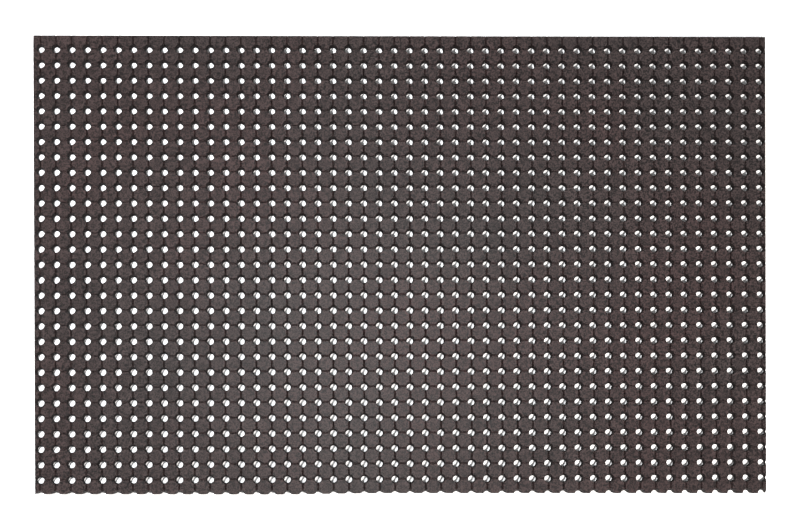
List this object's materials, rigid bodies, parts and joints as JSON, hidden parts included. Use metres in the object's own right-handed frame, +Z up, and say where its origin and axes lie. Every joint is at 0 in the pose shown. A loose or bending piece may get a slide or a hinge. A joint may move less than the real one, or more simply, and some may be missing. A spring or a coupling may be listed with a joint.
{
  "type": "door mat",
  "caption": "Rectangular black rubber drainage door mat: square tread tiles between V grooves, drain holes at the crossings; rolls up along its grooves.",
  "frame": {"origin": "middle of the underside, on the floor", "axes": "+X along the mat's length, +Y towards its back edge, +Z up out of the tread"},
  "size_m": [0.8, 0.5, 0.008],
  "materials": {
    "rubber": "matte, fine-grained"
  },
  "bodies": {
    "strip_01": {"tread_strip_01": "rubber"},
    "strip_02": {"tread_strip_02": "rubber"},
    "strip_03": {"tread_strip_03": "rubber"},
    "strip_04": {"tread_strip_04": "rubber"},
    "strip_05": {"tread_strip_05": "rubber"},
    "strip_06": {"tread_strip_06": "rubber"},
    "strip_07": {"tread_strip_07": "rubber"},
    "strip_08": {"tread_strip_08": "rubber"},
    "strip_09": {"tread_strip_09": "rubber"},
    "strip_10": {"tread_strip_10": "rubber"},
    "strip_11": {"tread_strip_11": "rubber"},
    "strip_12": {"tread_strip_12": "rubber"},
    "strip_13": {"tread_strip_13": "rubber"},
    "strip_14": {"tread_strip_14": "rubber"},
    "strip_15": {"tread_strip_15": "rubber"},
    "strip_16": {"tread_strip_16": "rubber"},
    "strip_17": {"tread_strip_17": "rubber"},
    "strip_18": {"tread_strip_18": "rubber"},
    "strip_19": {"tread_strip_19": "rubber"},
    "strip_20": {"tread_strip_20": "rubber"},
    "strip_21": {"tread_strip_21": "rubber"},
    "strip_22": {"tread_strip_22": "rubber"},
    "strip_23": {"tread_strip_23": "rubber"},
    "strip_24": {"tread_strip_24": "rubber"},
    "strip_25": {"tread_strip_25": "rubber"},
    "strip_26": {"tread_strip_26": "rubber"},
    "strip_27": {"tread_strip_27": "rubber"},
    "strip_28": {"tread_strip_28": "rubber"},
    "strip_29": {"tread_strip_29": "rubber"},
    "strip_30": {"tread_strip_30": "rubber"},
    "strip_31": {"tread_strip_31": "rubber"},
    "strip_32": {"tread_strip_32": "rubber"},
    "strip_33": {"tread_strip_33": "rubber"},
    "strip_34": {"tread_strip_34": "rubber"},
    "strip_35": {"tread_strip_35": "rubber"},
    "strip_36": {"tread_strip_36": "rubber"},
    "strip_37": {"tread_strip_37": "rubber"},
    "strip_38": {"tread_strip_38": "rubber"},
    "strip_39": {"tread_strip_39": "rubber"},
    "strip_40": {"tread_strip_40": "rubber"},
    "strip_41": {"tread_strip_41": "rubber"},
    "strip_42": {"tread_strip_42": "rubber"},
    "strip_43": {"tread_strip_43": "rubber"},
    "strip_44": {"tread_strip_44": "rubber"},
    "strip_45": {"tread_strip_45": "rubber"},
    "strip_46": {"tread_strip_46": "rubber"},
    "strip_47": {"tread_strip_47": "rubber"},
    "strip_48": {"tread_strip_48": "rubber"},
    "strip_49": {"tread_strip_49": "rubber"}
  },
  "joints": [
    {"name": "groove_hinge_01", "type": "hinge", "parent": "strip_01", "child": "strip_02", "pos_m": [-0.3921, 0, 0.00325], "axis": [0, -1, 0], "range_deg": [0, 14.1], "stiffness_Nm_per_rad": 2.5},
    {"name": "groove_hinge_02", "type": "hinge", "parent": "strip_02", "child": "strip_03", "pos_m": [-0.37537, 0, 0.00325], "axis": [0, -1, 0], "range_deg": [0, 14.19], "stiffness_Nm_per_rad": 2.5},
    {"name": "groove_hinge_03", "type": "hinge", "parent": "strip_03", "child": "strip_04", "pos_m": [-0.35864, 0, 0.00325], "axis": [0, -1, 0], "range_deg": [0, 14.29], "stiffness_Nm_per_rad": 2.5},
    {"name": "groove_hinge_04", "type": "hinge", "parent": "strip_04", "child": "strip_05", "pos_m": [-0.34191, 0, 0.00325], "axis": [0, -1, 0], "range_deg": [0, 14.39], "stiffness_Nm_per_rad": 2.5},
    {"name": "groove_hinge_05", "type": "hinge", "parent": "strip_05", "child": "strip_06", "pos_m": [-0.32518, 0, 0.00325], "axis": [0, -1, 0], "range_deg": [0, 14.49], "stiffness_Nm_per_rad": 2.5},
    {"name": "groove_hinge_06", "type": "hinge", "parent": "strip_06", "child": "strip_07", "pos_m": [-0.30845, 0, 0.00325], "axis": [0, -1, 0], "range_deg": [0, 14.59], "stiffness_Nm_per_rad": 2.5},
    {"name": "groove_hinge_07", "type": "hinge", "parent": "strip_07", "child": "strip_08", "pos_m": [-0.29172, 0, 0.00325], "axis": [0, -1, 0], "range_deg": [0, 14.69], "stiffness_Nm_per_rad": 2.5},
    {"name": "groove_hinge_08", "type": "hinge", "parent": "strip_08", "child": "strip_09", "pos_m": [-0.27499, 0, 0.00325], "axis": [0, -1, 0], "range_deg": [0, 14.8], "stiffness_Nm_per_rad": 2.5},
    {"name": "groove_hinge_09", "type": "hinge", "parent": "strip_09", "child": "strip_10", "pos_m": [-0.25826, 0, 0.00325], "axis": [0, -1, 0], "range_deg": [0, 14.91], "stiffness_Nm_per_rad": 2.5},
    {"name": "groove_hinge_10", "type": "hinge", "parent": "strip_10", "child": "strip_11", "pos_m": [-0.24153, 0, 0.00325], "axis": [0, -1, 0], "range_deg": [0, 15.02], "stiffness_Nm_per_rad": 2.5},
    {"name": "groove_hinge_11", "type": "hinge", "parent": "strip_11", "child": "strip_12", "pos_m": [-0.2248, 0, 0.00325], "axis": [0, -1, 0], "range_deg": [0, 15.13], "stiffness_Nm_per_rad": 2.5},
    {"name": "groove_hinge_12", "type": "hinge", "parent": "strip_12", "child": "strip_13", "pos_m": [-0.20807, 0, 0.00325], "axis": [0, -1, 0], "range_deg": [0, 15.25], "stiffness_Nm_per_rad": 2.5},
    {"name": "groove_hinge_13", "type": "hinge", "parent": "strip_13", "child": "strip_14", "pos_m": [-0.19134, 0, 0.00325], "axis": [0, -1, 0], "range_deg": [0, 15.37], "stiffness_Nm_per_rad": 2.5},
    {"name": "groove_hinge_14", "type": "hinge", "parent": "strip_14", "child": "strip_15", "pos_m": [-0.17461, 0, 0.00325], "axis": [0, -1, 0], "range_deg": [0, 15.49], "stiffness_Nm_per_rad": 2.5},
    {"name": "groove_hinge_15", "type": "hinge", "parent": "strip_15", "child": "strip_16", "pos_m": [-0.15788, 0, 0.00325], "axis": [0, -1, 0], "range_deg": [0, 15.62], "stiffness_Nm_per_rad": 2.5},
    {"name": "groove_hinge_16", "type": "hinge", "parent": "strip_16", "child": "strip_17", "pos_m": [-0.14115, 0, 0.00325], "axis": [0, -1, 0], "range_deg": [0, 15.75], "stiffness_Nm_per_rad": 2.5},
    {"name": "groove_hinge_17", "type": "hinge", "parent": "strip_17", "child": "strip_18", "pos_m": [-0.12442, 0, 0.00325], "axis": [0, -1, 0], "range_deg": [0, 15.88], "stiffness_Nm_per_rad": 2.5},
    {"name": "groove_hinge_18", "type": "hinge", "parent": "strip_18", "child": "strip_19", "pos_m": [-0.10769, 0, 0.00325], "axis": [0, -1, 0], "range_deg": [0, 16.01], "stiffness_Nm_per_rad": 2.5},
    {"name": "groove_hinge_19", "type": "hinge", "parent": "strip_19", "child": "strip_20", "pos_m": [-0.09096, 0, 0.00325], "axis": [0, -1, 0], "range_deg": [0, 16.15], "stiffness_Nm_per_rad": 2.5},
    {"name": "groove_hinge_20", "type": "hinge", "parent": "strip_20", "child": "strip_21", "pos_m": [-0.07423, 0, 0.00325], "axis": [0, -1, 0], "range_deg": [0, 16.3], "stiffness_Nm_per_rad": 2.5},
    {"name": "groove_hinge_21", "type": "hinge", "parent": "strip_21", "child": "strip_22", "pos_m": [-0.0575, 0, 0.00325], "axis": [0, -1, 0], "range_deg": [0, 16.44], "stiffness_Nm_per_rad": 2.5},
    {"name": "groove_hinge_22", "type": "hinge", "parent": "strip_22", "child": "strip_23", "pos_m": [-0.04077, 0, 0.00325], "axis": [0, -1, 0], "range_deg": [0, 16.59], "stiffness_Nm_per_rad": 2.5},
    {"name": "groove_hinge_23", "type": "hinge", "parent": "strip_23", "child": "strip_24", "pos_m": [-0.02404, 0, 0.00325], "axis": [0, -1, 0], "range_deg": [0, 16.75], "stiffness_Nm_per_rad": 2.5},
    {"name": "groove_hinge_24", "type": "hinge", "parent": "strip_24", "child": "strip_25", "pos_m": [-0.00731, 0, 0.00325], "axis": [0, -1, 0], "range_deg": [0, 16.9], "stiffness_Nm_per_rad": 2.5},
    {"name": "groove_hinge_25", "type": "hinge", "parent": "strip_25", "child": "strip_26", "pos_m": [0.00942, 0, 0.00325], "axis": [0, -1, 0], "range_deg": [0, 17.07], "stiffness_Nm_per_rad": 2.5},
    {"name": "groove_hinge_26", "type": "hinge", "parent": "strip_26", "child": "strip_27", "pos_m": [0.02615, 0, 0.00325], "axis": [0, -1, 0], "range_deg": [0, 17.24], "stiffness_Nm_per_rad": 2.5},
    {"name": "groove_hinge_27", "type": "hinge", "parent": "strip_27", "child": "strip_28", "pos_m": [0.04288, 0, 0.00325], "axis": [0, -1, 0], "range_deg": [0, 17.41], "stiffness_Nm_per_rad": 2.5},
    {"name": "groove_hinge_28", "type": "hinge", "parent": "strip_28", "child": "strip_29", "pos_m": [0.05961, 0, 0.00325], "axis": [0, -1, 0], "range_deg": [0, 17.59], "stiffness_Nm_per_rad": 2.5},
    {"name": "groove_hinge_29", "type": "hinge", "parent": "strip_29", "child": "strip_30", "pos_m": [0.07634, 0, 0.00325], "axis": [0, -1, 0], "range_deg": [0, 17.77], "stiffness_Nm_per_rad": 2.5},
    {"name": "groove_hinge_30", "type": "hinge", "parent": "strip_30", "child": "strip_31", "pos_m": [0.09307, 0, 0.00325], "axis": [0, -1, 0], "range_deg": [0, 17.96], "stiffness_Nm_per_rad": 2.5},
    {"name": "groove_hinge_31", "type": "hinge", "parent": "strip_31", "child": "strip_32", "pos_m": [0.1098, 0, 0.00325], "axis": [0, -1, 0], "range_deg": [0, 18.16], "stiffness_Nm_per_rad": 2.5},
    {"name": "groove_hinge_32", "type": "hinge", "parent": "strip_32", "child": "strip_33", "pos_m": [0.12653, 0, 0.00325], "axis": [0, -1, 0], "range_deg": [0, 18.36], "stiffness_Nm_per_rad": 2.5},
    {"name": "groove_hinge_33", "type": "hinge", "parent": "strip_33", "child": "strip_34", "pos_m": [0.14326, 0, 0.00325], "axis": [0, -1, 0], "range_deg": [0, 18.57], "stiffness_Nm_per_rad": 2.5},
    {"name": "groove_hinge_34", "type": "hinge", "parent": "strip_34", "child": "strip_35", "pos_m": [0.15999, 0, 0.00325], "axis": [0, -1, 0], "range_deg": [0, 18.79], "stiffness_Nm_per_rad": 2.5},
    {"name": "groove_hinge_35", "type": "hinge", "parent": "strip_35", "child": "strip_36", "pos_m": [0.17672, 0, 0.00325], "axis": [0, -1, 0], "range_deg": [0, 19.01], "stiffness_Nm_per_rad": 2.5},
    {"name": "groove_hinge_36", "type": "hinge", "parent": "strip_36", "child": "strip_37", "pos_m": [0.19345, 0, 0.00325], "axis": [0, -1, 0], "range_deg": [0, 19.25], "stiffness_Nm_per_rad": 2.5},
    {"name": "groove_hinge_37", "type": "hinge", "parent": "strip_37", "child": "strip_38", "pos_m": [0.21018, 0, 0.00325], "axis": [0, -1, 0], "range_deg": [0, 19.49], "stiffness_Nm_per_rad": 2.5},
    {"name": "groove_hinge_38", "type": "hinge", "parent": "strip_38", "child": "strip_39", "pos_m": [0.22691, 0, 0.00325], "axis": [0, -1, 0], "range_deg": [0, 19.74], "stiffness_Nm_per_rad": 2.5},
    {"name": "groove_hinge_39", "type": "hinge", "parent": "strip_39", "child": "strip_40", "pos_m": [0.24364, 0, 0.00325], "axis": [0, -1, 0], "range_deg": [0, 20], "stiffness_Nm_per_rad": 2.5},
    {"name": "groove_hinge_40", "type": "hinge", "parent": "strip_40", "child": "strip_41", "pos_m": [0.26037, 0, 0.00325], "axis": [0, -1, 0], "range_deg": [0, 20.27], "stiffness_Nm_per_rad": 2.5},
    {"name": "groove_hinge_41", "type": "hinge", "parent": "strip_41", "child": "strip_42", "pos_m": [0.2771, 0, 0.00325], "axis": [0, -1, 0], "range_deg": [0, 20.56], "stiffness_Nm_per_rad": 2.5},
    {"name": "groove_hinge_42", "type": "hinge", "parent": "strip_42", "child": "strip_43", "pos_m": [0.29383, 0, 0.00325], "axis": [0, -1, 0], "range_deg": [0, 20.85], "stiffness_Nm_per_rad": 2.5},
    {"name": "groove_hinge_43", "type": "hinge", "parent": "strip_43", "child": "strip_44", "pos_m": [0.31056, 0, 0.00325], "axis": [0, -1, 0], "range_deg": [0, 21.16], "stiffness_Nm_per_rad": 2.5},
    {"name": "groove_hinge_44", "type": "hinge", "parent": "strip_44", "child": "strip_45", "pos_m": [0.32729, 0, 0.00325], "axis": [0, -1, 0], "range_deg": [0, 21.48], "stiffness_Nm_per_rad": 2.5},
    {"name": "groove_hinge_45", "type": "hinge", "parent": "strip_45", "child": "strip_46", "pos_m": [0.34402, 0, 0.00325], "axis": [0, -1, 0], "range_deg": [0, 21.82], "stiffness_Nm_per_rad": 2.5},
    {"name": "groove_hinge_46", "type": "hinge", "parent": "strip_46", "child": "strip_47", "pos_m": [0.36075, 0, 0.00325], "axis": [0, -1, 0], "range_deg": [0, 22.18], "stiffness_Nm_per_rad": 2.5},
    {"name": "groove_hinge_47", "type": "hinge", "parent": "strip_47", "child": "strip_48", "pos_m": [0.37748, 0, 0.00325], "axis": [0, -1, 0], "range_deg": [0, 22.55], "stiffness_Nm_per_rad": 2.5},
    {"name": "groove_hinge_48", "type": "hinge", "parent": "strip_48", "child": "strip_49", "pos_m": [0.39421, 0, 0.00325], "axis": [0, -1, 0], "range_deg": [0, 22.94], "stiffness_Nm_per_rad": 2.5}
  ]
}
